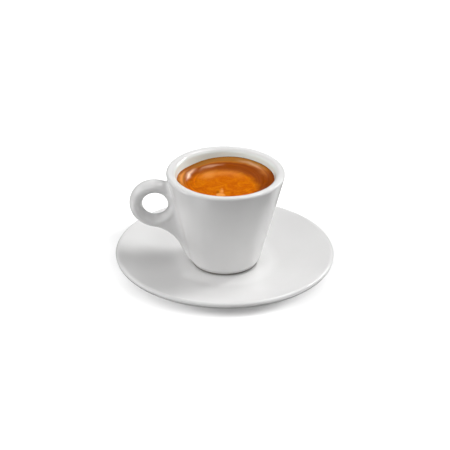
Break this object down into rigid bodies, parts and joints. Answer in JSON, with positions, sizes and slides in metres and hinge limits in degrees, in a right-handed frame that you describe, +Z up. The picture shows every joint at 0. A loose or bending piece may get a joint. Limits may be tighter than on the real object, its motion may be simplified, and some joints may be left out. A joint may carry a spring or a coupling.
{
  "type": "espresso shot",
  "caption": "Espresso with crema in a thick conical porcelain cup with a ring handle, standing on its round saucer.",
  "frame": {"origin": "middle of the saucer's foot, on the surface that the saucer stands on, on the axis of the saucer, cup and drink", "axes": "+Z up along the axis of the cup, +X from the handle towards the far side of the cup, so the handle points to -X, +Y across the handle, away from the viewer of the picture"},
  "size_m": [0.12, 0.12, 0.0615],
  "materials": {
    "saucer_porcelain": "clear-glazed white porcelain",
    "cup_porcelain": "clear-glazed white porcelain",
    "crema": "wet fine foam"
  },
  "bodies": {
    "root": {"saucer": "saucer_porcelain", "cup": "cup_porcelain", "espresso": "crema"}
  },
  "joints": []
}
